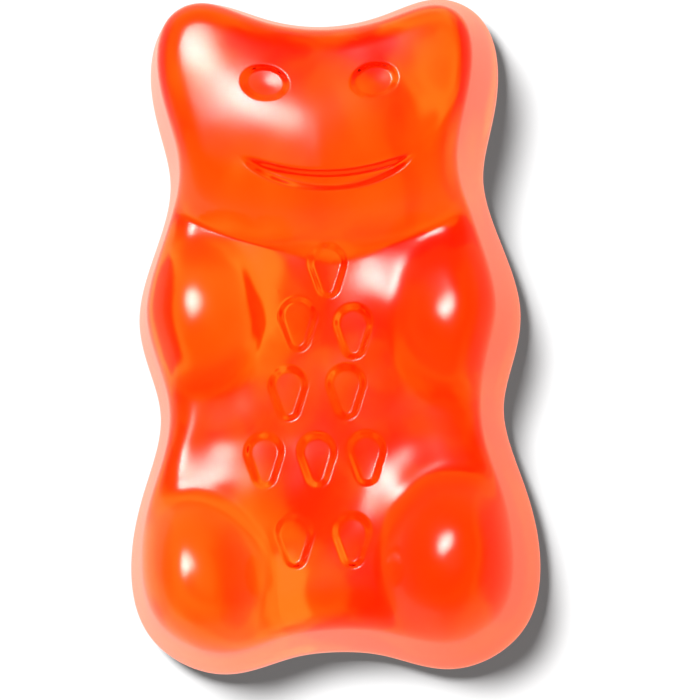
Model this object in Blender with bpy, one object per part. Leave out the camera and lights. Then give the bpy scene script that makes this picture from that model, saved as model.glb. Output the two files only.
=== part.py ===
"""Gummy bear, one solid piece of moulded fruit gel lying on its flat back.

The head points along +Y and the front faces +Z. A sweet that is poured into a pressed
mould has no undercuts, so its front is a relief, with one height over each point of the
plan, and its side wall follows the outline with a little draft. Every length here is in
millimetres until the finished mesh is scaled to metres.
"""

import math

import bmesh
import bpy
import numpy as np

MILLIMETRE = 0.001

# Overall size.
LENGTH = 22.0
WIDTH = 13.4
HEAD_HEIGHT = 9.0
TORSO_HEIGHT = 7.0

# One half of the outline, from the dip between the ears round to the crotch,
# as shares of half the width and half the length.
HALF_OUTLINE = (
    (0.000, 0.925),  # dip between the ears
    (0.284, 0.953),
    (0.567, 1.000),  # tip of the ear
    (0.769, 0.944),
    (0.852, 0.791),  # widest of the head
    (0.809, 0.609),
    (0.766, 0.459),  # neck
    (0.839, 0.277),
    (0.933, 0.070),  # elbow
    (0.896, -0.077),
    (0.839, -0.234),  # waist
    (0.928, -0.450),
    (1.000, -0.668),  # widest of the leg
    (0.913, -0.886),
    (0.558, -1.000),  # heel
    (0.224, -0.955),
    (0.000, -0.941),  # crotch
)
CURVE_STEPS = 12
KNOT_POWER = 0.75

# Side wall: straight up to WIDEST_LEVEL, then leaning in by the draft for each millimetre.
# The gel set a little askew, so the wall leans in more towards +X and the feet.
# The front's edge is rounded more at the feet than at the ears, and least at the waist.
WIDEST_LEVEL = 1.7
WALL_DRAFT = 0.145
WALL_DRAFT_PER_X = 0.006
WALL_DRAFT_PER_Y = -0.003
DRAFT_START = 0.5
FRONT_ROUNDING = 0.95
FRONT_ROUNDING_PER_Y = -0.03
WAIST_Y = -4.2
WAIST_HALF_LENGTH = 1.4
WAIST_SHARPENING = 0.45
BACK_ROUNDING = 0.8

# Head: a wide dome with an ear dome at each corner, cut off below by the arc of the chin.
HEAD_CENTRE = (0.0, 5.7)
HEAD_RADII = (4.65, 4.55)
HEAD_FALL = 1.55
EAR_CENTRE = (3.8, 8.7)
EAR_RADII = (1.6, 1.6)
EAR_HEIGHT = 8.15
EAR_FALL = 0.7
EAR_BLEND = 0.9
# Gentle hollows between the ears and in the cheeks, each with its centre, radii and
# depth. Between them they take HOLLOWED_OFF from the top of the head's dome.
HOLLOWS = (
    ((0.0, 9.2), (2.0, 2.0), 0.30),
    ((2.3, 4.7), (2.3, 1.6), 0.16),
)
HOLLOWED_OFF = 0.05
CHIN_CENTRE_Y = 9.5
CHIN_RADIUS = 6.9
CHIN_FOOT_HEIGHT = 7.2
CHIN_STEEPNESS = 1.0
CHIN_STEEPNESS_PER_X = -0.04
CHIN_ROUNDING = 0.7
CHIN_STRETCH = 1.1
CHIN_CREASE = 0.15
CHIN_FILLET = 0.3
CHIN_FILLET_HALF_WIDTH = 1.3
CHIN_BAND = 0.55

# Domes of the front. Each has a centre and radii in plan, the height of its top, how far
# it falls over about one radius, and a power that keeps its top flatter when larger.
LEFT_SHOULDER = ((-3.4, 1.0), (2.0, 1.25), 7.35, 0.34, 2.0)
RIGHT_SHOULDER = ((4.1, 0.8), (2.2, 1.25), 7.35, 0.34, 2.0)
LEFT_THIGH = ((-2.4, -5.3), (2.4, 1.2), 7.25, 0.42, 2.0)
RIGHT_THIGH = ((3.2, -6.1), (2.0, 1.5), 7.25, 0.38, 2.0)
LEFT_ARM = ((-4.0, 0.5), (1.9, 2.3), 7.9, 3.0, 2.6)
RIGHT_ARM = ((4.15, 0.15), (1.9, 2.3), 8.0, 2.4, 2.2)
LEFT_LEG = ((-4.45, -8.05), (2.0, 2.4), 8.5, 3.4, 2.6)
RIGHT_LEG = ((3.95, -7.6), (2.0, 2.4), 8.5, 3.4, 2.6)
FLANK_BLEND = 0.15
LIMB_BLEND = 0.45

# Pressed hollows: the fur marks down the belly, each a drop with its point
# towards the feet, then the eyes and the mouth.
FUR_MARKS = (
    (0.08, 1.78),
    (-0.92, 0.08),
    (0.86, -0.20),
    (-1.28, -2.13),
    (0.59, -2.13),
    (-2.09, -4.28),
    (-0.40, -4.30),
    (1.19, -4.28),
    (-1.18, -6.89),
    (0.67, -6.90),
)
MARK_RADIUS = 0.64
MARK_POINT_RADIUS = 0.40
MARK_REACH = 0.76
MARK_LIFT = 0.30
MARK_DEPTH = 0.32
MARK_WALL = 0.24
EYE_X = 1.75
EYE_Y = 7.78
EYE_RADII = (0.80, 0.59)
EYE_TURN = 0.20
EYE_DEPTH = 0.25
EYE_WALL_SHARE = 0.5
MOUTH_CENTRE = (0.22, 4.59)
MOUTH_RADIUS = 5.2
MOUTH_HALF_LENGTH = 3.0
MOUTH_HALF_WIDTH = 0.36
MOUTH_DEPTH = 0.5
MOUTH_WALL = 0.28
MOUTH_FADE = 0.3
EDGE_LEAD = 0.02

# Mesh.
GRID_STEP = 0.2
GRID_MARGIN = 1.5
BLOCK_HEIGHT = 7.0
COARSE_VOXEL = 0.4
FINE_VOXEL = 0.17
COARSE_ROUNDS = 10
FINE_ROUNDS = 4
DETAIL_ROUNDS = 4
DETAIL_CUTS = 2
DETAIL_MARGIN = 0.12
LARGEST_MOVE = 0.4
LEAST_STEEPNESS = 0.2
SLOPE_SPAN = 0.01
FLAT_SNAP = 0.004
TRIANGLES = 9400

# Orange gel, in linear colour.
GEL_COLOUR = (1.0, 0.09, 0.012, 1.0)
GEL_ROUGHNESS = 0.12
GEL_IOR = 1.5


def smooth_larger(first, second, blend):
    """The larger of two values, with the corner between them rounded off."""
    share = np.clip(0.5 + 0.5 * (first - second) / blend, 0, 1)
    return second + (first - second) * share + blend * share * (1 - share)


def ramp(value, start, end):
    """0 before start, 1 after end, and an S-curve between them."""
    share = np.clip((value - start) / (end - start), 0, 1)
    return share * share * (3 - 2 * share)


def closed_curve(corners):
    """Points of the closed cubic that passes smoothly through the corners."""
    count = len(corners)
    following = np.roll(corners, -1, axis=0)
    knots = np.linalg.norm(following - corners, axis=1) ** KNOT_POWER
    system = np.zeros((count, count))
    right_side = np.zeros((count, 2))
    for this in range(count):
        after = (this + 1) % count
        before_knot, after_knot = knots[this - 1], knots[this]
        system[this, this - 1] = after_knot
        system[this, this] = 2 * (before_knot + after_knot)
        system[this, after] = before_knot
        step_in = (corners[this] - corners[this - 1]) / before_knot
        step_out = (corners[after] - corners[this]) / after_knot
        right_side[this] = 3 * (after_knot * step_in + before_knot * step_out)
    slopes = np.linalg.solve(system, right_side)
    share = np.linspace(0, 1, CURVE_STEPS, endpoint=False)[:, None]
    ease = ramp(share, 0, 1)
    leave = share**3 - 2 * share**2 + share
    arrive = share**3 - share**2
    stretches = []
    for this in range(count):
        after = (this + 1) % count
        place = corners[this] * (1 - ease) + corners[after] * ease
        bend = (slopes[this] * leave + slopes[after] * arrive) * knots[this]
        stretches.append(place + bend)
    return np.concatenate(stretches)


def outline():
    """The bear's outline in plan, one closed curve."""
    half = np.array(HALF_OUTLINE) * (WIDTH / 2, LENGTH / 2)
    other_half = half[-2:0:-1] * (-1, 1)
    return closed_curve(np.concatenate([half, other_half]))


class OutlineDistance:
    """Distance in plan from the outline, negative inside, as a smooth surface over a grid."""

    def __init__(self, curve):
        self.origin = curve.min(axis=0) - GRID_MARGIN
        size = np.ptp(curve, axis=0) + 2 * GRID_MARGIN
        shape = (size / GRID_STEP).astype(int) + 1
        places = np.stack(np.meshgrid(*map(np.arange, shape), indexing="ij"), axis=-1)
        points = places.reshape(-1, 2) * GRID_STEP + self.origin
        nearest = np.full(len(points), np.inf)
        inside = np.zeros(len(points), bool)
        for start, end in zip(curve, np.roll(curve, -1, axis=0)):
            along = end - start
            share = np.clip((points - start) @ along / (along @ along), 0, 1)
            gap = np.linalg.norm(points - start - share[:, None] * along, axis=1)
            nearest = np.minimum(nearest, gap)
            if start[1] == end[1]:
                continue
            spans = (start[1] > points[:, 1]) != (end[1] > points[:, 1])
            crossing = start[0] + (points[:, 1] - start[1]) * along[0] / along[1]
            inside ^= spans & (points[:, 0] < crossing)
        self.values = np.where(inside, -nearest, nearest).reshape(shape)

    @staticmethod
    def weights(share):
        """Weights of the four neighbours in a uniform cubic B-spline."""
        return (
            (1 - share) ** 3 / 6,
            (3 * share**3 - 6 * share**2 + 4) / 6,
            (-3 * share**3 + 3 * share**2 + 3 * share + 1) / 6,
            share**3 / 6,
        )

    def at(self, x, y):
        last = np.array(self.values.shape) - 3.001
        across = np.clip((x - self.origin[0]) / GRID_STEP, 1, last[0])
        along = np.clip((y - self.origin[1]) / GRID_STEP, 1, last[1])
        column, row = across.astype(int), along.astype(int)
        total = 0.0
        for i, weight_x in enumerate(self.weights(across - column)):
            for j, weight_y in enumerate(self.weights(along - row)):
                total = total + weight_x * weight_y * self.values[column + i - 1, row + j - 1]
        return total


def dome(x, y, centre, radii, top, fall, power):
    """A rounded rise whose sides fall away evenly."""
    spread = np.hypot((x - centre[0]) / radii[0], (y - centre[1]) / radii[1])
    return top - fall * ((1 + spread**power) ** (1 / power) - 1)


def head_height(x, y):
    top = HEAD_HEIGHT + HOLLOWED_OFF
    face = dome(x, y, HEAD_CENTRE, HEAD_RADII, top, HEAD_FALL, 2.0)
    ears = dome(np.abs(x), y, EAR_CENTRE, EAR_RADII, EAR_HEIGHT, EAR_FALL, 2.0)
    pillow = smooth_larger(face, ears, EAR_BLEND)
    for centre, radii, depth in HOLLOWS:
        across, along = (np.abs(x) - centre[0]) / radii[0], (y - centre[1]) / radii[1]
        pillow -= depth * np.exp(-(across**2) - along**2)
    inside_chin = CHIN_RADIUS - np.hypot(x / CHIN_STRETCH, y - CHIN_CENTRE_Y)
    steepness = CHIN_STEEPNESS + CHIN_STEEPNESS_PER_X * x
    chin = CHIN_FOOT_HEIGHT + steepness * inside_chin
    return -smooth_larger(-pillow, -chin, CHIN_ROUNDING)


def front_height(x, y):
    """Height of the front before its edge is rounded and its hollows are pressed."""
    height = np.full_like(x, TORSO_HEIGHT)
    for limb in (LEFT_SHOULDER, RIGHT_SHOULDER, LEFT_THIGH, RIGHT_THIGH):
        height = smooth_larger(height, dome(x, y, *limb), FLANK_BLEND)
    for limb in (LEFT_ARM, RIGHT_ARM, LEFT_LEG, RIGHT_LEG):
        height = smooth_larger(height, dome(x, y, *limb), LIMB_BLEND)
    fillet = CHIN_FILLET * np.exp(-((x / CHIN_FILLET_HALF_WIDTH) ** 2))
    return smooth_larger(height, head_height(x, y), CHIN_CREASE + fillet)


def fur_mark_inset(x, y, centre):
    """How far inside a fur mark's edge a point lies: a big circle drawn out to a small one."""
    across = np.abs(x - centre[0])
    down = centre[1] + MARK_LIFT - y
    sine = (MARK_RADIUS - MARK_POINT_RADIUS) / MARK_REACH
    cosine = math.sqrt(1 - sine**2)
    along = cosine * down - sine * across
    head = MARK_RADIUS - np.hypot(across, down)
    side = MARK_RADIUS - cosine * across - sine * down
    point = MARK_POINT_RADIUS - np.hypot(across, down - MARK_REACH)
    return np.where(along < 0, head, np.where(along > cosine * MARK_REACH, point, side))


def eye_inset(x, y, side):
    """How far inside an eye's edge a point lies, as a share of the eye's radius."""
    cosine, sine = math.cos(EYE_TURN), math.sin(EYE_TURN) * side
    across, up = x - side * EYE_X, y - EYE_Y
    along_eye = cosine * across + sine * up
    over_eye = cosine * up - sine * across
    return 1 - np.hypot(along_eye / EYE_RADII[0], over_eye / EYE_RADII[1])


def mouth_inset(x, y):
    """How far inside the mouth's edges a point lies, and how near to its middle."""
    across = x - MOUTH_CENTRE[0]
    down = MOUTH_CENTRE[1] + MOUTH_RADIUS - y
    along = np.abs(np.arctan2(across, down)) * MOUTH_RADIUS / MOUTH_HALF_LENGTH
    half_width = MOUTH_HALF_WIDTH * np.sqrt(np.clip(1 - along**2, 0, 1))
    inset = half_width - np.abs(np.hypot(across, down) - MOUTH_RADIUS)
    return inset, 1 - along


def pressed_depth(x, y):
    """Depth of the fur marks, the eyes and the mouth."""
    depth = np.zeros_like(x)
    for centre in FUR_MARKS:
        inset = fur_mark_inset(x, y, centre)
        depth += MARK_DEPTH * ramp(inset, -EDGE_LEAD, MARK_WALL - EDGE_LEAD)
    for side in (-1, 1):
        depth += EYE_DEPTH * ramp(eye_inset(x, y, side), -EDGE_LEAD, EYE_WALL_SHARE)
    inset, from_end = mouth_inset(x, y)
    depth += MOUTH_DEPTH * ramp(inset, -EDGE_LEAD, MOUTH_WALL) * ramp(from_end, 0, MOUTH_FADE)
    return depth


def near_detail(x, y):
    """True where the skin bends too sharply for the even mesh."""
    inside_chin = CHIN_RADIUS - np.hypot(x / CHIN_STRETCH, y - CHIN_CENTRE_Y)
    near = np.abs(inside_chin - CHIN_BAND / 2) < CHIN_BAND
    near |= pressed_depth(x, y) > 0
    for turn in range(8):
        shift_x = DETAIL_MARGIN * math.cos(turn * math.pi / 4)
        shift_y = DETAIL_MARGIN * math.sin(turn * math.pi / 4)
        near |= pressed_depth(x + shift_x, y + shift_y) > 0
    return near


def pillow_height(x, y):
    """A level front, for the plain pillow whose normals guide the shaping."""
    return np.full_like(x, TORSO_HEIGHT)


def pressed_height(x, y):
    return front_height(x, y) - pressed_depth(x, y)


class Skin:
    """A surface as the zero level of one smooth function, negative inside."""

    def __init__(self, distance, height_at):
        self.distance = distance
        self.height_at = height_at

    def value(self, points):
        x, y, z = points.T
        above = np.hypot(np.maximum(z - WIDEST_LEVEL, 0), DRAFT_START) - DRAFT_START
        draft = WALL_DRAFT + WALL_DRAFT_PER_X * x + WALL_DRAFT_PER_Y * y
        wall = self.distance.at(x, y) + draft * above
        rounding = FRONT_ROUNDING + FRONT_ROUNDING_PER_Y * y
        rounding -= WAIST_SHARPENING * np.exp(-(((y - WAIST_Y) / WAIST_HALF_LENGTH) ** 2))
        shell = smooth_larger(wall, z - self.height_at(x, y), rounding)
        return smooth_larger(shell, -z, BACK_ROUNDING)

    def slope(self, points):
        slope = np.empty_like(points)
        for axis in range(3):
            offset = np.zeros(3)
            offset[axis] = SLOPE_SPAN
            rise = self.value(points + offset) - self.value(points - offset)
            slope[:, axis] = rise / (2 * SLOPE_SPAN)
        return slope

    def pull(self, points, guide):
        """The points moved to the surface along the guide's normals, one Newton step each."""
        normal = guide.slope(points)
        normal /= np.linalg.norm(normal, axis=1, keepdims=True)
        steepness = np.maximum((self.slope(points) * normal).sum(axis=1), LEAST_STEEPNESS)
        move = np.clip(self.value(points) / steepness, -LARGEST_MOVE, LARGEST_MOVE)
        return points - move[:, None] * normal


def read_points(mesh):
    points = np.empty(len(mesh.vertices) * 3, np.float32)
    mesh.vertices.foreach_get("co", points)
    return points.reshape(-1, 3).astype(float)


def write_points(mesh, points):
    mesh.vertices.foreach_set("co", points.astype(np.float32).ravel())
    mesh.update()


def with_modifier(mesh, kind, **settings):
    """A copy of the mesh with one modifier applied."""
    helper = bpy.data.objects.new("helper", mesh)
    bpy.context.scene.collection.objects.link(helper)
    modifier = helper.modifiers.new(kind.title(), kind)
    for name, setting in settings.items():
        setattr(modifier, name, setting)
    graph = bpy.context.evaluated_depsgraph_get()
    result = bpy.data.meshes.new_from_object(helper.evaluated_get(graph))
    bpy.data.objects.remove(helper)
    bpy.data.meshes.remove(mesh)
    return result


def block(curve):
    """The outline extruded into a plain block, the stock that the bear is shaped from."""
    shape = bmesh.new()
    face = shape.faces.new([shape.verts.new((x, y, 0)) for x, y in curve[::2]])
    raised = bmesh.ops.extrude_face_region(shape, geom=[face])["geom"]
    top = [part for part in raised if isinstance(part, bmesh.types.BMVert)]
    bmesh.ops.translate(shape, verts=top, vec=(0, 0, BLOCK_HEIGHT))
    bmesh.ops.recalc_face_normals(shape, faces=shape.faces)
    mesh = bpy.data.meshes.new("gummy_bear")
    shape.to_mesh(mesh)
    shape.free()
    return mesh


def relax(mesh):
    """Evens out the spacing of the mesh."""
    shape = bmesh.new()
    shape.from_mesh(mesh)
    axes = {"use_axis_x": True, "use_axis_y": True, "use_axis_z": True}
    bmesh.ops.smooth_vert(shape, verts=shape.verts, factor=0.5, **axes)
    shape.to_mesh(mesh)
    shape.free()


def refine_details(mesh):
    """Splits the front's faces round the hollows, where the even mesh is too coarse."""
    shape = bmesh.new()
    shape.from_mesh(mesh)
    centres = np.array([face.calc_center_median() for face in shape.faces])
    near = near_detail(centres[:, 0], centres[:, 1]) & (centres[:, 2] > TORSO_HEIGHT / 2)
    edges = {edge for face, close in zip(shape.faces, near) if close for edge in face.edges}
    edges = sorted(edges, key=lambda edge: edge.index)
    bmesh.ops.subdivide_edges(shape, edges=edges, cuts=DETAIL_CUTS, use_grid_fill=True)
    shape.to_mesh(mesh)
    shape.free()


def shaped_mesh():
    """The block remeshed and pulled onto the bear's skin, from coarse to fine."""
    curve = outline()
    distance = OutlineDistance(curve)
    pillow = Skin(distance, pillow_height)
    plain = Skin(distance, front_height)
    pressed = Skin(distance, pressed_height)
    mesh = with_modifier(block(curve), "REMESH", mode="VOXEL", voxel_size=COARSE_VOXEL)
    for _ in range(COARSE_ROUNDS):
        relax(mesh)
        write_points(mesh, plain.pull(read_points(mesh), pillow))
    mesh = with_modifier(mesh, "REMESH", mode="VOXEL", voxel_size=FINE_VOXEL)
    for _ in range(FINE_ROUNDS):
        relax(mesh)
        write_points(mesh, plain.pull(read_points(mesh), pillow))
    refine_details(mesh)
    for _ in range(DETAIL_ROUNDS):
        write_points(mesh, pressed.pull(read_points(mesh), pillow))
    return mesh


def thinned_mesh(mesh):
    """The mesh reduced to fewer triangles, with its back exactly flat."""
    full = sum(len(face.vertices) - 2 for face in mesh.polygons)
    mesh = with_modifier(mesh, "DECIMATE", ratio=TRIANGLES / full, use_collapse_triangulate=True)
    points = read_points(mesh)
    points[points[:, 2] < FLAT_SNAP, 2] = 0.0
    write_points(mesh, points * MILLIMETRE)
    return mesh


def gel_material():
    material = bpy.data.materials.new("fruit_gel")
    material.use_nodes = True
    shader = material.node_tree.nodes["Principled BSDF"]
    shader.inputs["Base Color"].default_value = GEL_COLOUR
    shader.inputs["Metallic"].default_value = 0.0
    shader.inputs["Roughness"].default_value = GEL_ROUGHNESS
    shader.inputs["IOR"].default_value = GEL_IOR
    return material


def gummy_bear():
    mesh = thinned_mesh(shaped_mesh())
    mesh.shade_smooth()
    mesh.materials.append(gel_material())
    bear = bpy.data.objects.new("gummy_bear", mesh)
    bpy.context.scene.collection.objects.link(bear)
    return bear


def main():
    for leftover in list(bpy.data.objects):
        bpy.data.objects.remove(leftover)
    gummy_bear()


main()
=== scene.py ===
"""Looks of the gummy bear: one moulded piece of clear fruit gel on a pale table.

The gel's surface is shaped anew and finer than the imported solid, to the same dimensions.
Shapes are worked out in millimetres and scaled to metres when a mesh is finished.
"""

import math

import bmesh
import bpy
import numpy as np
from mathutils import Matrix, Vector


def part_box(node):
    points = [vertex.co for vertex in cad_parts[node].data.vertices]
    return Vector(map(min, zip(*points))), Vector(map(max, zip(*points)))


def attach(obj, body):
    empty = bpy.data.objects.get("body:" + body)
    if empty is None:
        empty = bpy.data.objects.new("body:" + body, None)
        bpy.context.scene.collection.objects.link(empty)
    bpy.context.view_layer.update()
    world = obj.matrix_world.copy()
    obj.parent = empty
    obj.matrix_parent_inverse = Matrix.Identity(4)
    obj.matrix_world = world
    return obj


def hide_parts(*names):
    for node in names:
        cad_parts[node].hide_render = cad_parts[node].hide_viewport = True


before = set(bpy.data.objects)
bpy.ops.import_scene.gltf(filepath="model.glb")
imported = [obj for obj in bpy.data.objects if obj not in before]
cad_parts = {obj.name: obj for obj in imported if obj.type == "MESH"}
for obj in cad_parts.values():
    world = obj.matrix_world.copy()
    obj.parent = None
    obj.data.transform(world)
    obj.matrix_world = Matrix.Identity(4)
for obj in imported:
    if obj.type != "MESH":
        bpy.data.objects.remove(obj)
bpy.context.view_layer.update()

MILLIMETRE = 0.001

# Overall size.
BEAR_LOW, BEAR_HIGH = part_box("gummy_bear")
LENGTH = (BEAR_HIGH.y - BEAR_LOW.y) / MILLIMETRE
WIDTH = (BEAR_HIGH.x - BEAR_LOW.x) / MILLIMETRE
HEAD_HEIGHT = (BEAR_HIGH.z - BEAR_LOW.z) / MILLIMETRE
TORSO_HEIGHT = 7.0

# One half of the outline, from the dip between the ears round to the crotch,
# as shares of half the width and half the length.
HALF_OUTLINE = (
    (0.000, 0.925),  # dip between the ears
    (0.284, 0.953),
    (0.567, 1.000),  # tip of the ear
    (0.769, 0.944),
    (0.852, 0.791),  # widest of the head
    (0.809, 0.609),
    (0.766, 0.459),  # neck
    (0.839, 0.277),
    (0.933, 0.070),  # elbow
    (0.896, -0.077),
    (0.839, -0.234),  # waist
    (0.928, -0.450),
    (1.000, -0.668),  # widest of the leg
    (0.913, -0.886),
    (0.558, -1.000),  # heel
    (0.224, -0.955),
    (0.000, -0.941),  # crotch
)
CURVE_STEPS = 12
KNOT_POWER = 0.75

# Side wall: straight up to WIDEST_LEVEL, then leaning in by the draft for each millimetre.
# The gel set a little askew, so the wall leans in more towards +X and the feet.
# The front's edge is rounded more at the feet than at the ears, and least at the waist.
WIDEST_LEVEL = 1.7
WALL_DRAFT = 0.145
WALL_DRAFT_PER_X = 0.006
WALL_DRAFT_PER_Y = -0.003
DRAFT_START = 0.5
FRONT_ROUNDING = 0.95
FRONT_ROUNDING_PER_Y = -0.03
WAIST_Y = -4.2
WAIST_HALF_LENGTH = 1.4
WAIST_SHARPENING = 0.45
BACK_ROUNDING = 0.8

# Head: a wide dome with an ear dome at each corner, cut off below by the arc of the chin.
HEAD_CENTRE = (0.0, 5.7)
HEAD_RADII = (4.65, 4.55)
HEAD_FALL = 1.55
EAR_CENTRE = (3.8, 8.7)
EAR_RADII = (1.6, 1.6)
EAR_HEIGHT = 8.15
EAR_FALL = 0.7
EAR_BLEND = 0.9
# Gentle hollows between the ears and in the cheeks, each with its centre, radii and
# depth. Between them they take HOLLOWED_OFF from the top of the head's dome.
HOLLOWS = (
    ((0.0, 9.2), (2.0, 2.0), 0.30),
    ((2.3, 4.7), (2.3, 1.6), 0.16),
)
HOLLOWED_OFF = 0.05
CHIN_CENTRE_Y = 9.5
CHIN_RADIUS = 6.9
CHIN_FOOT_HEIGHT = 7.2
CHIN_STEEPNESS = 1.0
CHIN_STEEPNESS_PER_X = -0.04
CHIN_ROUNDING = 0.7
CHIN_STRETCH = 1.1
CHIN_CREASE = 0.15
CHIN_FILLET = 0.3
CHIN_FILLET_HALF_WIDTH = 1.3
CHIN_BAND = 0.55

# Domes of the front. Each has a centre and radii in plan, the height of its top, how far
# it falls over about one radius, and a power that keeps its top flatter when larger.
LEFT_SHOULDER = ((-3.4, 1.0), (2.0, 1.25), 7.35, 0.34, 2.0)
RIGHT_SHOULDER = ((4.1, 0.8), (2.2, 1.25), 7.35, 0.34, 2.0)
LEFT_THIGH = ((-2.4, -5.3), (2.4, 1.2), 7.25, 0.42, 2.0)
RIGHT_THIGH = ((3.2, -6.1), (2.0, 1.5), 7.25, 0.38, 2.0)
LEFT_ARM = ((-4.0, 0.5), (1.9, 2.3), 7.9, 3.0, 2.6)
RIGHT_ARM = ((4.15, 0.15), (1.9, 2.3), 8.0, 2.4, 2.2)
LEFT_LEG = ((-4.45, -8.05), (2.0, 2.4), 8.5, 3.4, 2.6)
RIGHT_LEG = ((3.95, -7.6), (2.0, 2.4), 8.5, 3.4, 2.6)
FLANK_BLEND = 0.15
LIMB_BLEND = 0.45

# Centres of the fur marks pressed into the belly. Each is a drop: a big circle drawn out
# by MARK_REACH to a small one, which points towards the feet.
FUR_MARKS = (
    (0.08, 1.78),
    (-0.92, 0.08),
    (0.86, -0.20),
    (-1.28, -2.13),
    (0.59, -2.13),
    (-2.09, -4.28),
    (-0.40, -4.30),
    (1.19, -4.28),
    (-1.18, -6.89),
    (0.67, -6.90),
)
MARK_RADIUS = 0.64
MARK_POINT_RADIUS = 0.40
MARK_REACH = 0.76
MARK_LIFT = 0.30
MARK_DEPTH = 0.32
MARK_WALL = 0.24

# Eyes: ovals with a narrow rim and a shallow bowl within it, turned a little.
EYE_X = 1.75
EYE_Y = 7.78
EYE_RADII = (0.80, 0.59)
EYE_TURN = 0.20
EYE_RIM_DEPTH = 0.17
EYE_BOWL_DEPTH = 0.05
EYE_RIM_SHARE = 0.30

# Mouth: a groove along the bottom of a circle, tapering to both ends.
MOUTH_CENTRE = (0.22, 4.59)
MOUTH_RADIUS = 5.2
MOUTH_HALF_LENGTH = 3.0
MOUTH_HALF_WIDTH = 0.36
MOUTH_DEPTH = 0.5
MOUTH_WALL = 0.28
MOUTH_FADE = 0.3

# How far outside its edge each pressed wall begins.
EDGE_LEAD = 0.02

# Unevenness of the front, where the gel shrank as it set. Each wave has its direction in
# radians, its length and its phase. They fade over NECK_BAND to their share on the head,
# and over SIDE_BAND, which is measured down from the torso's height.
POURED_WAVES = ((0.4, 2.3, 0.5), (1.3, 1.7, 2.1), (2.2, 3.1, 4.0), (2.9, 1.3, 1.2))
WAVE_STEEPNESS = 0.0028
WAVE_BEND = 0.6
WAVE_BEND_RATE = 1.1
WAVES_ON_HEAD = 0.25
NECK_BAND = (2.0, 5.0)
SIDE_BAND = (0.5, 2.5)
# Folds, each a soft step with its place, its reach and its slope.
FOLDS = (
    ((3.5, 2.7), 0.9, -0.11),
    ((2.0, -4.9), 0.9, -0.08),
    ((3.2, -5.1), 0.6, -0.10),
)
# Where the tops of the arms and legs are flattened: place, radii and depth.
FLATTENED = (
    ((-4.5, 1.25), (0.65, 0.95), 0.045),
    ((3.75, 1.1), (0.65, 0.95), 0.045),
    ((-4.85, -7.25), (0.70, 0.95), 0.045),
    ((3.5, -6.6), (0.65, 0.95), 0.045),
)

# Mesh.
GRID_STEP = 0.2
GRID_MARGIN = 1.5
BLOCK_HEIGHT = 7.0
COARSE_VOXEL = 0.4
FINE_VOXEL = 0.16
COARSE_ROUNDS = 10
FINE_ROUNDS = 4
DETAIL_ROUNDS = 4
DETAIL_CUTS = 3
DETAIL_MARGIN = 0.12
LARGEST_MOVE = 0.4
LEAST_STEEPNESS = 0.2
SLOPE_SPAN = 0.01
FLAT_SNAP = 0.004


def smooth_larger(first, second, blend):
    """The larger of two values, with the corner between them rounded off."""
    share = np.clip(0.5 + 0.5 * (first - second) / blend, 0, 1)
    return second + (first - second) * share + blend * share * (1 - share)


def ramp(value, start, end):
    """0 before start, 1 after end, and an S-curve between them."""
    share = np.clip((value - start) / (end - start), 0, 1)
    return share * share * (3 - 2 * share)


def closed_curve(corners):
    """Points of the closed cubic that passes smoothly through the corners."""
    count = len(corners)
    following = np.roll(corners, -1, axis=0)
    knots = np.linalg.norm(following - corners, axis=1) ** KNOT_POWER
    system = np.zeros((count, count))
    right_side = np.zeros((count, 2))
    for this in range(count):
        after = (this + 1) % count
        before_knot, after_knot = knots[this - 1], knots[this]
        system[this, this - 1] = after_knot
        system[this, this] = 2 * (before_knot + after_knot)
        system[this, after] = before_knot
        step_in = (corners[this] - corners[this - 1]) / before_knot
        step_out = (corners[after] - corners[this]) / after_knot
        right_side[this] = 3 * (after_knot * step_in + before_knot * step_out)
    slopes = np.linalg.solve(system, right_side)
    share = np.linspace(0, 1, CURVE_STEPS, endpoint=False)[:, None]
    ease = ramp(share, 0, 1)
    leave = share**3 - 2 * share**2 + share
    arrive = share**3 - share**2
    stretches = []
    for this in range(count):
        after = (this + 1) % count
        place = corners[this] * (1 - ease) + corners[after] * ease
        bend = (slopes[this] * leave + slopes[after] * arrive) * knots[this]
        stretches.append(place + bend)
    return np.concatenate(stretches)


def outline():
    """The bear's outline in plan, one closed curve."""
    half = np.array(HALF_OUTLINE) * (WIDTH / 2, LENGTH / 2)
    other_half = half[-2:0:-1] * (-1, 1)
    return closed_curve(np.concatenate([half, other_half]))


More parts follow.
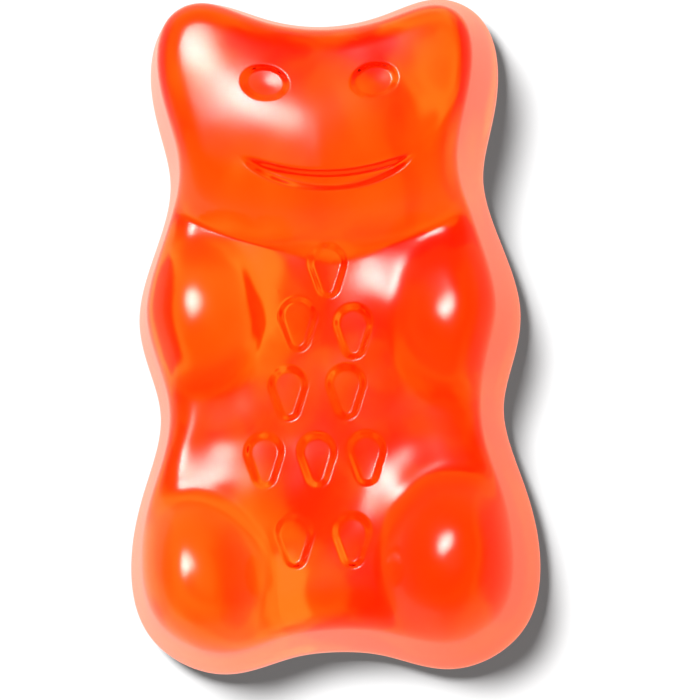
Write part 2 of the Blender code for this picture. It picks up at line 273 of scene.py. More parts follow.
class OutlineDistance:
    """Distance in plan from the outline, negative inside, as a smooth surface over a grid."""

    def __init__(self, curve):
        self.origin = curve.min(axis=0) - GRID_MARGIN
        size = np.ptp(curve, axis=0) + 2 * GRID_MARGIN
        shape = (size / GRID_STEP).astype(int) + 1
        places = np.stack(np.meshgrid(*map(np.arange, shape), indexing="ij"), axis=-1)
        points = places.reshape(-1, 2) * GRID_STEP + self.origin
        nearest = np.full(len(points), np.inf)
        inside = np.zeros(len(points), bool)
        for start, end in zip(curve, np.roll(curve, -1, axis=0)):
            along = end - start
            share = np.clip((points - start) @ along / (along @ along), 0, 1)
            gap = np.linalg.norm(points - start - share[:, None] * along, axis=1)
            nearest = np.minimum(nearest, gap)
            if start[1] == end[1]:
                continue
            spans = (start[1] > points[:, 1]) != (end[1] > points[:, 1])
            crossing = start[0] + (points[:, 1] - start[1]) * along[0] / along[1]
            inside ^= spans & (points[:, 0] < crossing)
        self.values = np.where(inside, -nearest, nearest).reshape(shape)

    @staticmethod
    def weights(share):
        """Weights of the four neighbours in a uniform cubic B-spline."""
        return (
            (1 - share) ** 3 / 6,
            (3 * share**3 - 6 * share**2 + 4) / 6,
            (-3 * share**3 + 3 * share**2 + 3 * share + 1) / 6,
            share**3 / 6,
        )

    def at(self, x, y):
        last = np.array(self.values.shape) - 3.001
        across = np.clip((x - self.origin[0]) / GRID_STEP, 1, last[0])
        along = np.clip((y - self.origin[1]) / GRID_STEP, 1, last[1])
        column, row = across.astype(int), along.astype(int)
        total = 0.0
        for i, weight_x in enumerate(self.weights(across - column)):
            for j, weight_y in enumerate(self.weights(along - row)):
                total = total + weight_x * weight_y * self.values[column + i - 1, row + j - 1]
        return total


def dome(x, y, centre, radii, top, fall, power):
    """A rounded rise whose sides fall away evenly."""
    spread = np.hypot((x - centre[0]) / radii[0], (y - centre[1]) / radii[1])
    return top - fall * ((1 + spread**power) ** (1 / power) - 1)


def head_height(x, y):
    top = HEAD_HEIGHT + HOLLOWED_OFF
    face = dome(x, y, HEAD_CENTRE, HEAD_RADII, top, HEAD_FALL, 2.0)
    ears = dome(np.abs(x), y, EAR_CENTRE, EAR_RADII, EAR_HEIGHT, EAR_FALL, 2.0)
    pillow = smooth_larger(face, ears, EAR_BLEND)
    for centre, radii, depth in HOLLOWS:
        across, along = (np.abs(x) - centre[0]) / radii[0], (y - centre[1]) / radii[1]
        pillow -= depth * np.exp(-(across**2) - along**2)
    inside_chin = CHIN_RADIUS - np.hypot(x / CHIN_STRETCH, y - CHIN_CENTRE_Y)
    steepness = CHIN_STEEPNESS + CHIN_STEEPNESS_PER_X * x
    chin = CHIN_FOOT_HEIGHT + steepness * inside_chin
    return -smooth_larger(-pillow, -chin, CHIN_ROUNDING)


def front_height(x, y):
    """Height of the front before its edge is rounded and its hollows are pressed."""
    height = np.full_like(x, TORSO_HEIGHT)
    for limb in (LEFT_SHOULDER, RIGHT_SHOULDER, LEFT_THIGH, RIGHT_THIGH):
        height = smooth_larger(height, dome(x, y, *limb), FLANK_BLEND)
    for limb in (LEFT_ARM, RIGHT_ARM, LEFT_LEG, RIGHT_LEG):
        height = smooth_larger(height, dome(x, y, *limb), LIMB_BLEND)
    fillet = CHIN_FILLET * np.exp(-((x / CHIN_FILLET_HALF_WIDTH) ** 2))
    return smooth_larger(height, head_height(x, y), CHIN_CREASE + fillet)


def fur_mark_inset(x, y, centre):
    """How far inside a fur mark's edge a point lies: a big circle drawn out to a small one."""
    across = np.abs(x - centre[0])
    down = centre[1] + MARK_LIFT - y
    sine = (MARK_RADIUS - MARK_POINT_RADIUS) / MARK_REACH
    cosine = math.sqrt(1 - sine**2)
    along = cosine * down - sine * across
    head = MARK_RADIUS - np.hypot(across, down)
    side = MARK_RADIUS - cosine * across - sine * down
    point = MARK_POINT_RADIUS - np.hypot(across, down - MARK_REACH)
    return np.where(along < 0, head, np.where(along > cosine * MARK_REACH, point, side))


def eye_inset(x, y, side):
    """How far inside an eye's edge a point lies, as a share of the eye's radius."""
    cosine, sine = math.cos(EYE_TURN), math.sin(EYE_TURN) * side
    across, up = x - side * EYE_X, y - EYE_Y
    along_eye = cosine * across + sine * up
    over_eye = cosine * up - sine * across
    return 1 - np.hypot(along_eye / EYE_RADII[0], over_eye / EYE_RADII[1])


def mouth_inset(x, y):
    """How far inside the mouth's edges a point lies, and how near to its middle."""
    across = x - MOUTH_CENTRE[0]
    down = MOUTH_CENTRE[1] + MOUTH_RADIUS - y
    along = np.abs(np.arctan2(across, down)) * MOUTH_RADIUS / MOUTH_HALF_LENGTH
    half_width = MOUTH_HALF_WIDTH * np.sqrt(np.clip(1 - along**2, 0, 1))
    inset = half_width - np.abs(np.hypot(across, down) - MOUTH_RADIUS)
    return inset, 1 - along


def pressed_depth(x, y):
    """Depth of the fur marks, the eyes and the mouth."""
    depth = np.zeros_like(x)
    for centre in FUR_MARKS:
        inset = fur_mark_inset(x, y, centre)
        depth += MARK_DEPTH * ramp(inset, -EDGE_LEAD, MARK_WALL - EDGE_LEAD)
    for side in (-1, 1):
        inset = eye_inset(x, y, side)
        depth += EYE_RIM_DEPTH * ramp(inset, -EDGE_LEAD, EYE_RIM_SHARE)
        depth += EYE_BOWL_DEPTH * ramp(inset, 0, 1)
    inset, from_end = mouth_inset(x, y)
    depth += MOUTH_DEPTH * ramp(inset, -EDGE_LEAD, MOUTH_WALL) * ramp(from_end, 0, MOUTH_FADE)
    return depth


def near_detail(x, y):
    """True where the skin bends too sharply for the even mesh."""
    inside_chin = CHIN_RADIUS - np.hypot(x / CHIN_STRETCH, y - CHIN_CENTRE_Y)
    near = np.abs(inside_chin - CHIN_BAND / 2) < CHIN_BAND
    near |= pressed_depth(x, y) > 0
    for turn in range(8):
        shift_x = DETAIL_MARGIN * math.cos(turn * math.pi / 4)
        shift_y = DETAIL_MARGIN * math.sin(turn * math.pi / 4)
        near |= pressed_depth(x + shift_x, y + shift_y) > 0
    return near


def pillow_height(x, y):
    """A level front, for the plain pillow whose normals guide the shaping."""
    return np.full_like(x, TORSO_HEIGHT)


def pressed_height(x, y):
    return front_height(x, y) - pressed_depth(x, y)


class Skin:
    """A surface as the zero level of one smooth function, negative inside."""

    def __init__(self, distance, height_at):
        self.distance = distance
        self.height_at = height_at

    def value(self, points):
        x, y, z = points.T
        above = np.hypot(np.maximum(z - WIDEST_LEVEL, 0), DRAFT_START) - DRAFT_START
        draft = WALL_DRAFT + WALL_DRAFT_PER_X * x + WALL_DRAFT_PER_Y * y
        wall = self.distance.at(x, y) + draft * above
        rounding = FRONT_ROUNDING + FRONT_ROUNDING_PER_Y * y
        rounding -= WAIST_SHARPENING * np.exp(-(((y - WAIST_Y) / WAIST_HALF_LENGTH) ** 2))
        shell = smooth_larger(wall, z - self.height_at(x, y), rounding)
        return smooth_larger(shell, -z, BACK_ROUNDING)

    def slope(self, points):
        slope = np.empty_like(points)
        for axis in range(3):
            offset = np.zeros(3)
            offset[axis] = SLOPE_SPAN
            rise = self.value(points + offset) - self.value(points - offset)
            slope[:, axis] = rise / (2 * SLOPE_SPAN)
        return slope

    def pull(self, points, guide):
        """The points moved to the surface along the guide's normals, one Newton step each."""
        normal = guide.slope(points)
        normal /= np.linalg.norm(normal, axis=1, keepdims=True)
        steepness = np.maximum((self.slope(points) * normal).sum(axis=1), LEAST_STEEPNESS)
        move = np.clip(self.value(points) / steepness, -LARGEST_MOVE, LARGEST_MOVE)
        return points - move[:, None] * normal


def read_points(mesh):
    points = np.empty(len(mesh.vertices) * 3, np.float32)
    mesh.vertices.foreach_get("co", points)
    return points.reshape(-1, 3).astype(float)


def write_points(mesh, points):
    mesh.vertices.foreach_set("co", points.astype(np.float32).ravel())
    mesh.update()


def with_modifier(mesh, kind, **settings):
    """A copy of the mesh with one modifier applied."""
    helper = bpy.data.objects.new("helper", mesh)
    bpy.context.scene.collection.objects.link(helper)
    modifier = helper.modifiers.new(kind.title(), kind)
    for name, setting in settings.items():
        setattr(modifier, name, setting)
    graph = bpy.context.evaluated_depsgraph_get()
    result = bpy.data.meshes.new_from_object(helper.evaluated_get(graph))
    bpy.data.objects.remove(helper)
    bpy.data.meshes.remove(mesh)
    return result


def flat_outline(curve):
    """One flat face with the curve as its edge."""
    shape = bmesh.new()
    bmesh.ops.create_circle(shape, cap_ends=True, segments=len(curve) // 2, radius=WIDTH / 2)
    for vert, place in zip(shape.verts, curve[::2]):
        vert.co.xy = place
    return shape


def block(curve):
    """The outline extruded into a plain block, the stock that the bear is shaped from."""
    shape = flat_outline(curve)
    raised = bmesh.ops.extrude_face_region(shape, geom=shape.faces[:])["geom"]
    top = [part for part in raised if isinstance(part, bmesh.types.BMVert)]
    bmesh.ops.translate(shape, verts=top, vec=(0, 0, BLOCK_HEIGHT))
    bmesh.ops.recalc_face_normals(shape, faces=shape.faces)
    mesh = bpy.data.meshes.new("gummy_bear_gel")
    shape.to_mesh(mesh)
    shape.free()
    return mesh


def relax(mesh):
    """Evens out the spacing of the mesh."""
    shape = bmesh.new()
    shape.from_mesh(mesh)
    axes = {"use_axis_x": True, "use_axis_y": True, "use_axis_z": True}
    bmesh.ops.smooth_vert(shape, verts=shape.verts, factor=0.5, **axes)
    shape.to_mesh(mesh)
    shape.free()


def refine_details(mesh):
    """Splits the front's faces round the hollows, where the even mesh is too coarse."""
    shape = bmesh.new()
    shape.from_mesh(mesh)
    centres = np.array([face.calc_center_median() for face in shape.faces])
    near = near_detail(centres[:, 0], centres[:, 1]) & (centres[:, 2] > TORSO_HEIGHT / 2)
    edges = {edge for face, close in zip(shape.faces, near) if close for edge in face.edges}
    edges = sorted(edges, key=lambda edge: edge.index)
    bmesh.ops.subdivide_edges(shape, edges=edges, cuts=DETAIL_CUTS, use_grid_fill=True)
    shape.to_mesh(mesh)
    shape.free()


def unevenness(points):
    """Height that the waves, the folds and the flattened tops add to the front."""
    x, y, z = points.T
    height = np.zeros_like(x)
    for turn, length, phase in POURED_WAVES:
        along = x * math.cos(turn) + y * math.sin(turn)
        across = y * math.cos(turn) - x * math.sin(turn)
        bend = WAVE_BEND * np.sin(across * WAVE_BEND_RATE + phase * 2)
        height += length * np.sin((along + bend) * 2 * math.pi / length + phase)
    height *= WAVE_STEEPNESS * (1 - (1 - WAVES_ON_HEAD) * ramp(y, *NECK_BAND))
    for place, reach, slope in FOLDS:
        across, along = (x - place[0]) / reach, (y - place[1]) / reach
        height -= slope * reach * (across - along) * np.exp(-(across**2) - along**2)
    for place, radii, depth in FLATTENED:
        across, along = (x - place[0]) / radii[0], (y - place[1]) / radii[1]
        height -= depth * np.exp(-(across**2) - along**2)
    return height * (1 - ramp(TORSO_HEIGHT - z, *SIDE_BAND))


def shaped_mesh():
    """The block remeshed and pulled onto the bear's skin, from coarse to fine."""
    curve = outline()
    distance = OutlineDistance(curve)
    pillow = Skin(distance, pillow_height)
    plain = Skin(distance, front_height)
    pressed = Skin(distance, pressed_height)
    mesh = with_modifier(block(curve), "REMESH", mode="VOXEL", voxel_size=COARSE_VOXEL)
    for _ in range(COARSE_ROUNDS):
        relax(mesh)
        write_points(mesh, plain.pull(read_points(mesh), pillow))
    mesh = with_modifier(mesh, "REMESH", mode="VOXEL", voxel_size=FINE_VOXEL)
    for _ in range(FINE_ROUNDS):
        relax(mesh)
        write_points(mesh, plain.pull(read_points(mesh), pillow))
    refine_details(mesh)
    for _ in range(DETAIL_ROUNDS):
        write_points(mesh, pressed.pull(read_points(mesh), pillow))
    points = read_points(mesh)
    points[:, 2] += unevenness(points)
    points[points[:, 2] < FLAT_SNAP, 2] = 0.0
    write_points(mesh, points * MILLIMETRE)
    return mesh


# Materials -------------------------------------------------------------------------------


def linear(hex_colour):
    """An sRGB hex colour as linear RGBA."""
    levels = [int(hex_colour[start : start + 2], 16) / 255 for start in (1, 3, 5)]
    channels = [c / 12.92 if c <= 0.04045 else ((c + 0.055) / 1.055) ** 2.4 for c in levels]
    return (*channels, 1.0)


def per_metre(spacing):
    """The scale of a pattern that repeats every so many millimetres."""
    return 1 / (spacing * MILLIMETRE)


def set_stops(stops, colours):
    """Colours at their positions from 0 to 1."""
    while len(stops) < len(colours):
        stops.new(0.5)
    for stop, (position, colour) in zip(stops, colours):
        stop.position = position
        stop.color = linear(colour)


def add_node(tree, kind, settings=(), **links):
    """A node with its settings, fed by the outputs named in links."""
    node = tree.nodes.new(kind)
    for name, setting in dict(settings).items():
        if name == "stops":
            set_stops(node.color_ramp.elements, setting)
        elif isinstance(name, int) or name in node.inputs:
            node.inputs[name].default_value = setting
        else:
            setattr(node, name, setting)
    for name, source in links.items():
        tree.links.new(source, node.inputs[name.replace("_", " ")])
    return node


def empty_material(name):
    material = bpy.data.materials.new(name)
    material.use_nodes = True
    material.node_tree.nodes.clear()
    return material


# Clear gelatine gel, coloured orange-red all through. A thin edge of it is salmon, and
# yellow light is what its depth lets pass. Light that it mirrors is dulled by GEL_SHEEN.
GEL_TINT = "#FFCB9A"
GEL_DEPTH_TINT = "#FED300"
GEL_DENSITY = 300.0
GEL_SHEEN = "#A8968E"
GEL_IOR = 1.49
GEL_ROUGHNESS = 0.08
GEL_ROUGHNESS_SPREAD = 0.05
WAVE_RANGE = (0.3, 0.7)  # the waves' height from their hollows to their crests

# Film of wax and oil from the tumbling drum, which softens the highlights' edges.
WAX_WEIGHT = 0.45
WAX_ROUGHNESS = 0.21
WAX_IOR = 1.45

# Spacing and height in millimetres of the waves that the gel dried with, of the grain
# that the starch mould left, coarser than the real grain so that it shows, and of pits.
GEL_WAVES = (1.818, 0.010)
GEL_GRAIN = (0.3125, 0.0012)
GEL_PITS = (1.111, 0.004)
PIT_EDGES = (0.03, 0.09)


def fruit_gel():
    """Gelatine fruit gel, poured into a starch mould and glazed with a thin film of wax.

    The eye looks into clear, deep orange-red, with bright highlights that have soft edges
    and waver a little where the skin isn't quite smooth.
    """
    material = empty_material("fruit_gel")
    tree = material.node_tree
    place = add_node(tree, "ShaderNodeTexCoord").outputs["Object"]
    waves = add_node(
        tree,
        "ShaderNodeTexNoise",
        {"Scale": per_metre(GEL_WAVES[0]), "Detail": 2.0, "Roughness": 0.45},
        Vector=place,
    ).outputs["Fac"]
    grain = add_node(
        tree,
        "ShaderNodeTexNoise",
        {"Scale": per_metre(GEL_GRAIN[0]), "Detail": 2.0},
        Vector=place,
    ).outputs["Fac"]
    cells = add_node(
        tree,
        "ShaderNodeTexVoronoi",
        {"Scale": per_metre(GEL_PITS[0]), "Randomness": 1.0},
        Vector=place,
    ).outputs["Distance"]
    pits = add_node(
        tree,
        "ShaderNodeMapRange",
        {
            "interpolation_type": "SMOOTHSTEP",
            "From Min": PIT_EDGES[0],
            "From Max": PIT_EDGES[1],
        },
        Value=cells,
    ).outputs["Result"]
    relief = None
    for height, (_, depth) in ((waves, GEL_WAVES), (grain, GEL_GRAIN), (pits, GEL_PITS)):
        bump = add_node(
            tree,
            "ShaderNodeBump",
            {"Strength": 1.0, "Distance": depth * MILLIMETRE},
            Height=height,
        )
        if relief:
            tree.links.new(relief, bump.inputs["Normal"])
        relief = bump.outputs["Normal"]
    dullness = add_node(
        tree,
        "ShaderNodeMapRange",
        {
            "From Min": WAVE_RANGE[0],
            "From Max": WAVE_RANGE[1],
            "To Min": GEL_ROUGHNESS - GEL_ROUGHNESS_SPREAD / 2,
            "To Max": GEL_ROUGHNESS + GEL_ROUGHNESS_SPREAD / 2,
        },
        Value=waves,
    ).outputs["Result"]
    shader = add_node(
        tree,
        "ShaderNodeBsdfPrincipled",
        {
            "Base Color": linear(GEL_TINT),
            "Metallic": 0.0,
            "IOR": GEL_IOR,
            "Specular Tint": linear(GEL_SHEEN),
            "Transmission Weight": 1.0,
            "Coat Weight": WAX_WEIGHT,
            "Coat Roughness": WAX_ROUGHNESS,
            "Coat IOR": WAX_IOR,
        },
        Roughness=dullness,
        Normal=relief,
    )
    body = add_node(
        tree,
        "ShaderNodeVolumeAbsorption",
        {"Color": linear(GEL_DEPTH_TINT), "Density": GEL_DENSITY},
    )
    add_node(
        tree,
        "ShaderNodeOutputMaterial",
        Surface=shader.outputs["BSDF"],
        Volume=body.outputs["Volume"],
    )
    return material


TABLE_COLOUR = "#F0F0F0"
TABLE_ROUGHNESS = 0.9
TABLE_GLOW = 0.07


def table_top():
    """White painted board, flat and dull, with a faint glow that keeps its shadows grey."""
    material = empty_material("table_top")
    tree = material.node_tree
    shader = add_node(
        tree,
        "ShaderNodeBsdfPrincipled",
        {
            "Base Color": linear(TABLE_COLOUR),
            "Roughness": TABLE_ROUGHNESS,
            "Emission Color": (1, 1, 1, 1),
            "Emission Strength": TABLE_GLOW,
        },
    )
    add_node(tree, "ShaderNodeOutputMaterial", Surface=shader.outputs["BSDF"])
    return material


# Colours of the painted pool of light under the gel, a painted glow that stands in for the
# light gathered there, from its dimmest to its brightest.
PAINTED_POOL_COLOURS = (
    (0.0, "#DC0A00"),
    (0.12, "#F81404"),
    (0.35, "#FF4A14"),
    (0.7, "#FF9840"),
    (1.0, "#FFD498"),
)
# POOL_BASE takes up the real key light that passes through the gel; POOL_GLOW is the strength
# of the painted glow.
POOL_BASE = "#FFC8B0"
POOL_GLOW = 1.05
# Its level in the middle, and how fast that falls from the lit left side to the right: painted
# light, brighter on the lit side.
POOL_LEVEL = 0.40
POOL_FALL_PER_METRE = -26.0
# Spacing of the ripples and how far they move the pattern, then the same for the mottle.
POOL_RIPPLE_SPACING = 2.0
POOL_RIPPLE_REACH = 2.4
POOL_MOTTLE_SPACING = 2.381
POOL_MOTTLE = 1.2
# Patches of painted light and painted shade: middle and radii in millimetres, and how much
# they add to the level.
PAINTED_POOL_PATCHES = (
    ((-2.7, 0.7), (1.7, 2.8), 0.36),
    ((-3.0, 1.0), (0.7, 0.9), -0.50),
    ((-5.4, 0.4), (0.8, 2.5), -0.30),
    ((-2.8, -7.2), (2.6, 2.5), 0.34),
    ((-1.6, -8.3), (0.8, 1.6), 0.30),
    ((-5.6, -7.6), (0.9, 2.5), -0.14),
    ((2.8, 2.6), (1.6, 1.3), -0.90),
    ((4.9, 2.5), (0.8, 2.1), -0.35),
    ((4.8, -0.2), (0.7, 1.0), 0.40),
    ((3.9, -7.6), (1.9, 2.2), 0.12),
    ((1.2, 5.4), (5.5, 3.2), 0.25),
    ((0.0, 9.7), (4.0, 1.7), -0.50),
    ((3.6, 8.7), (1.8, 1.7), 0.50),
)
PATCH_SHARPNESS = 2.2


def painted_light_pool():
    """A painted pool of light under the gel, a glowing card: painted orange patches on its lit
    side, red ones and painted shade beyond. The real key light through the gel lights it too.

    The eye sees it through the gel, as painted light and shade that waver with the front's
    shape.
    """
    material = empty_material("painted_light_pool")
    tree = material.node_tree
    place = add_node(tree, "ShaderNodeTexCoord").outputs["Object"]
    ripple = add_node(
        tree,
        "ShaderNodeTexNoise",
        {"Scale": per_metre(POOL_RIPPLE_SPACING), "Detail": 1.0},
        Vector=place,
    ).outputs["Color"]
    centred = add_node(
        tree,
        "ShaderNodeVectorMath",
        {"operation": "SUBTRACT", 1: (0.5, 0.5, 0.5)},
        Vector=ripple,
    ).outputs["Vector"]
    reach = POOL_RIPPLE_REACH * MILLIMETRE
    moved = add_node(
        tree,
        "ShaderNodeVectorMath",
        {"operation": "MULTIPLY_ADD", 1: (reach, reach, 0.0)},
        Vector=centred,
    )
    tree.links.new(place, moved.inputs[2])
    wavering = moved.outputs["Vector"]
    across = add_node(tree, "ShaderNodeSeparateXYZ", Vector=wavering).outputs["X"]
    level = add_node(
        tree,
        "ShaderNodeMath",
        {"operation": "MULTIPLY_ADD", 1: POOL_FALL_PER_METRE, 2: POOL_LEVEL - POOL_MOTTLE / 2},
        Value=across,
    ).outputs["Value"]
    mottle = add_node(
        tree,
        "ShaderNodeTexNoise",
        {"Scale": per_metre(POOL_MOTTLE_SPACING), "Detail": 2.0},
        Vector=wavering,
    ).outputs["Fac"]
    mottled = add_node(
        tree, "ShaderNodeMath", {"operation": "MULTIPLY_ADD", 1: POOL_MOTTLE}, Value=mottle
    )
    tree.links.new(level, mottled.inputs[2])
    level = mottled.outputs["Value"]
    # Painted light and painted shade, patch by patch.
    for (x, y), (wide, long), lift in PAINTED_POOL_PATCHES:
        local = add_node(
            tree,
            "ShaderNodeMapping",
            {
                "Location": (-x / wide, -y / long, 0),
                "Scale": (per_metre(wide), per_metre(long), 0),
            },
            Vector=wavering,
        ).outputs["Vector"]
        inwards = add_node(
            tree, "ShaderNodeTexGradient", {"gradient_type": "SPHERICAL"}, Vector=local
        ).outputs["Fac"]
        patch = add_node(
            tree,
            "ShaderNodeMapRange",
            {
                "interpolation_type": "SMOOTHSTEP",
                "From Max": 1 / PATCH_SHARPNESS,
                "To Max": lift,
            },
            Value=inwards,
        ).outputs["Result"]
        lifted = add_node(tree, "ShaderNodeMath", {"operation": "ADD"}, Value=patch)
        tree.links.new(level, lifted.inputs[1])
        level = lifted.outputs["Value"]
    colour = add_node(tree, "ShaderNodeValToRGB", {"stops": PAINTED_POOL_COLOURS}, Fac=level)
    # A dull surface lit by the real key light through the gel, with the painted glow added as
    # emission.
    shader = add_node(
        tree,
        "ShaderNodeBsdfPrincipled",
        {
            "Base Color": linear(POOL_BASE),
            "Metallic": 1.0,
            "Roughness": 1.0,
            "Emission Strength": POOL_GLOW,
        },
        Emission_Color=colour.outputs["Color"],
    )
    add_node(tree, "ShaderNodeOutputMaterial", Surface=shader.outputs["BSDF"])
    material.cycles.emission_sampling = "NONE"
    return material


# Colours of a painted reflection of the table round the bear, pale where it is lit and warm
# and dim in painted shadow, how strong they glow, and how fast they change per metre,
# across and upwards.
PAINTED_REFLECTION_COLOURS = ((0.0, "#FFC4B0"), (1.0, "#FF9A7E"))
ROUND_GLOW = 1.3
ROUND_FALL = (60.0, -15.0)


def painted_table_reflection():
    """A glowing disc that the gel mirrors and sees in place of the table, a painted
    reflection: pale on the lit side, warm and dim in painted shadow.
    """
    material = empty_material("painted_table_reflection")
    tree = material.node_tree
    place = add_node(tree, "ShaderNodeTexCoord").outputs["Object"]
    level = add_node(
        tree,
        "ShaderNodeVectorMath",
        {"operation": "DOT_PRODUCT", 1: (*ROUND_FALL, 0.0)},
        Vector=place,
    ).outputs["Value"]
    shade = add_node(tree, "ShaderNodeMath", {"operation": "ADD", 1: 0.5}, Value=level)
    colour = add_node(
        tree, "ShaderNodeValToRGB", {"stops": PAINTED_REFLECTION_COLOURS}, Fac=shade.outputs["Value"]
    )
    glow = add_node(
        tree, "ShaderNodeEmission", {"Strength": ROUND_GLOW}, Color=colour.outputs["Color"]
    )
    add_node(tree, "ShaderNodeOutputMaterial", Surface=glow.outputs["Emission"])
    material.cycles.emission_sampling = "NONE"
    return material


# Colours of the painted glow of the room from its floor upwards, painted warm as if seen
# through the gel and darker higher up.
PAINTED_ROOM_COLOURS = ((0.0, "#FFA888"), (0.3, "#F87850"), (0.75, "#F04018"))
ROOM_RADIUS = 0.49


def painted_room_glow():
    """The bright room as a painted glow, shown in and through the gel's sides, painted warm as
    if by the gel and darker upwards.
    """
    material = empty_material("painted_room_glow")
    tree = material.node_tree
    place = add_node(tree, "ShaderNodeTexCoord").outputs["Object"]
    height = add_node(
        tree,
        "ShaderNodeVectorMath",
        {"operation": "DOT_PRODUCT", 1: (0, 0, 1 / ROOM_RADIUS)},
        Vector=place,
    ).outputs["Value"]
    colour = add_node(tree, "ShaderNodeValToRGB", {"stops": PAINTED_ROOM_COLOURS}, Fac=height)
    glow = add_node(tree, "ShaderNodeEmission", Color=colour.outputs["Color"])
    add_node(tree, "ShaderNodeOutputMaterial", Surface=glow.outputs["Emission"])
    material.cycles.emission_sampling = "NONE"
    return material


# Pieces ----------------------------------------------------------------------------------


def gummy_bear():
    mesh = shaped_mesh()
    mesh.shade_smooth()
    mesh.materials.clear()
    mesh.materials.append(fruit_gel())
    bear = bpy.data.objects.new("gummy_bear_gel", mesh)
    bpy.context.scene.collection.objects.link(bear)
    bear.visible_diffuse = False
    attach(bear, "root")
    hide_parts("gummy_bear")
    return bear


# The table top lies just under the bear, with a painted reflection of it for the gel to
# mirror and a painted pool of light a hair above it, one over the other.
TABLE_RADIUS = 500.0
TABLE_HEIGHT = -0.04
MIRRORED_HEIGHT = -0.03
POOL_HEIGHT = -0.02
TABLE_SEGMENTS = 64
ROOM_SEGMENTS = 32


def stage_piece(name, shape, material, height):
    """A piece of the setting, at a height over the plane of the bear's back."""
    mesh = bpy.data.meshes.new(name)
    shape.to_mesh(mesh)
    shape.free()
    mesh.materials.append(material)
    piece = bpy.data.objects.new(name, mesh)
    piece.location.z = height * MILLIMETRE
    bpy.context.scene.collection.objects.link(piece)
    return piece


def disc():
    shape = bmesh.new()
    radius = TABLE_RADIUS * MILLIMETRE
    bmesh.ops.create_circle(shape, cap_ends=True, segments=TABLE_SEGMENTS, radius=radius)
    return shape


def seen_by(piece, *seen):
    """Shows the piece to the named kinds of rays alone."""
    for ray in ("camera", "diffuse", "glossy", "transmission", "shadow", "volume_scatter"):
        setattr(piece, "visible_" + ray, ray in seen)


def table():
    """The table top, a painted reflection of it for the gel, a painted pool of light seen
    through the gel, and a painted glow of the room.
    """
    floor = stage_piece("table", disc(), table_top(), TABLE_HEIGHT)
    mirrored = stage_piece("painted_table_reflection", disc(), painted_table_reflection(), MIRRORED_HEIGHT)
    edge = flat_outline(outline() * MILLIMETRE)
    pool = stage_piece("painted_light_pool", edge, painted_light_pool(), POOL_HEIGHT)
    shell = bmesh.new()
    bmesh.ops.create_uvsphere(
        shell, u_segments=ROOM_SEGMENTS, v_segments=ROOM_SEGMENTS // 2, radius=ROOM_RADIUS
    )
    walls = stage_piece("painted_room_glow", shell, painted_room_glow(), 0.0)
    # The painted reflection, the painted pool of light and the painted room glow are seen only
    # in and through the gel.
    seen_by(floor, "camera", "diffuse", "shadow", "volume_scatter")
    seen_by(mirrored, "glossy", "transmission")
    seen_by(pool, "transmission")
    seen_by(walls, "glossy", "transmission")
    return floor, pool


# Lights and camera -----------------------------------------------------------------------

# Lights and camera, in metres. A light has its direction from the bear, its size, and its
# radiance at its edge and in its middle.
LIGHT_DISTANCE = 0.45
LIGHT_AIM = Vector((0, 0, 0.005))
KEY_DIRECTION = (-0.27, 0.33, 0.9)
KEY_SIZE = (0.22, 0.30)
KEY_EDGE = 0.5
KEY_MIDDLE = 44.0
KEY_TURN = 0.3
LIFT_DIRECTION = (-0.20, 0.20, 1.0)
LIFT_SIZE = (0.08, 0.08)
LIFT_RADIANCE = 147.0
ROOM_LIGHT = 0.08

CAMERA_DISTANCE = 0.25
CAMERA_LEAN = (0.02, -0.055)  # sideways and towards the feet, as tangents
CAMERA_ROLL = math.radians(1.33)
VIEW_WIDTH = 0.02295
VIEW_CENTRE = Vector((0.00064, -0.00048, 0.002))


def facing(back, place, turn):
    """A pose whose -Z looks against back, with +Y towards the bear's head, then turned."""
    right = Vector((0, 1, 0)).cross(back).normalized()
    up = back.cross(right)
    pose = Matrix((right, up, back)).transposed().to_4x4()
    pose.translation = place
    return pose @ Matrix.Rotation(turn, 4, "Z")


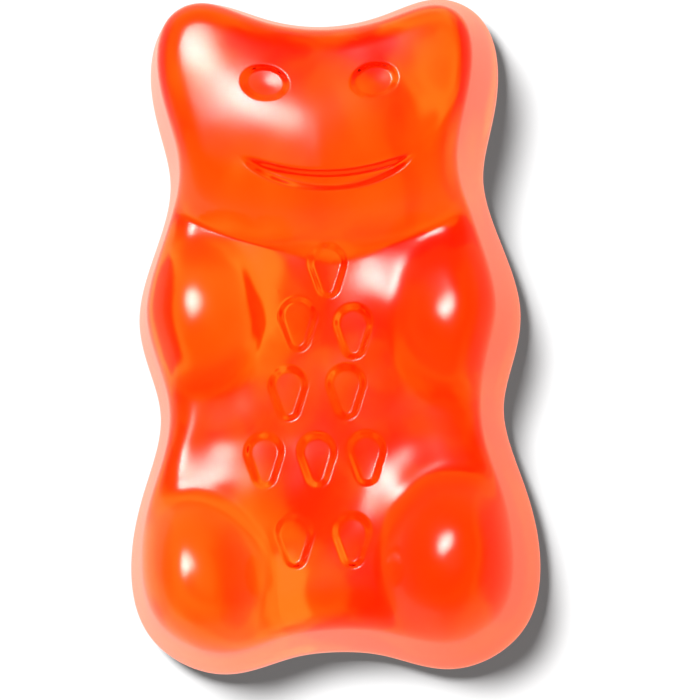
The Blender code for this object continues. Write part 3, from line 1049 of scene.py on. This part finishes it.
def softbox(name, direction, size, radiance, turn, lit):
    """An oval light on the lit pieces alone, its radiance given at its edge and middle.

    It isn't seen through the gel, where it would leave yellow flecks in the rim.
    """
    lamp = bpy.data.lights.new(name, "AREA")
    lamp.shape = "ELLIPSE"
    lamp.size, lamp.size_y = size
    lamp.energy = math.pi * size[0] * size[1] * math.pi / 4
    lamp.use_nodes = True
    tree = lamp.node_tree
    place = add_node(tree, "ShaderNodeNewGeometry").outputs["Parametric"]
    centred = add_node(
        tree, "ShaderNodeMapping", {"Location": (-1, -1, 0), "Scale": (2, 2, 0)}, Vector=place
    ).outputs["Vector"]
    inwards = add_node(
        tree, "ShaderNodeTexGradient", {"gradient_type": "SPHERICAL"}, Vector=centred
    ).outputs["Fac"]
    glow = add_node(
        tree,
        "ShaderNodeMapRange",
        {"interpolation_type": "SMOOTHSTEP", "To Min": radiance[0], "To Max": radiance[1]},
        Value=inwards,
    ).outputs["Result"]
    tree.links.new(glow, tree.nodes["Emission"].inputs["Strength"])
    box = bpy.data.objects.new(name, lamp)
    bpy.context.scene.collection.objects.link(box)
    back = Vector(direction).normalized()
    box.matrix_world = facing(back, LIGHT_AIM + back * LIGHT_DISTANCE, turn)
    box.visible_camera = False
    box.visible_transmission = False
    receivers = bpy.data.collections.new(name + "_receivers")
    for piece in lit:
        receivers.objects.link(piece)
    box.light_linking.receiver_collection = receivers


def lights(bear, floor, pool):
    """The key light for the gel, a second light for the table alone, and a dim room."""
    softbox("key", KEY_DIRECTION, KEY_SIZE, (KEY_EDGE, KEY_MIDDLE), KEY_TURN, (bear, pool))
    softbox("lift", LIFT_DIRECTION, LIFT_SIZE, (LIFT_RADIANCE, LIFT_RADIANCE), 0.0, (floor,))
    world = bpy.data.worlds.new("room")
    world.use_nodes = True
    background = world.node_tree.nodes["Background"]
    background.inputs["Color"].default_value = (1, 1, 1, 1)
    background.inputs["Strength"].default_value = ROOM_LIGHT
    bpy.context.scene.world = world


def camera():
    data = bpy.data.cameras.new("camera")
    data.lens = data.sensor_width * CAMERA_DISTANCE / VIEW_WIDTH
    data.clip_start = 0.01
    data.clip_end = 5.0
    view = bpy.data.objects.new("camera", data)
    bpy.context.scene.collection.objects.link(view)
    back = Vector((*CAMERA_LEAN, 1)).normalized()
    view.matrix_world = facing(back, VIEW_CENTRE + back * CAMERA_DISTANCE, -CAMERA_ROLL)
    bpy.context.scene.camera = view


def main():
    bear = gummy_bear()
    floor, pool = table()
    lights(bear, floor, pool)
    camera()
    bpy.context.scene.view_settings.view_transform = "Standard"


main()
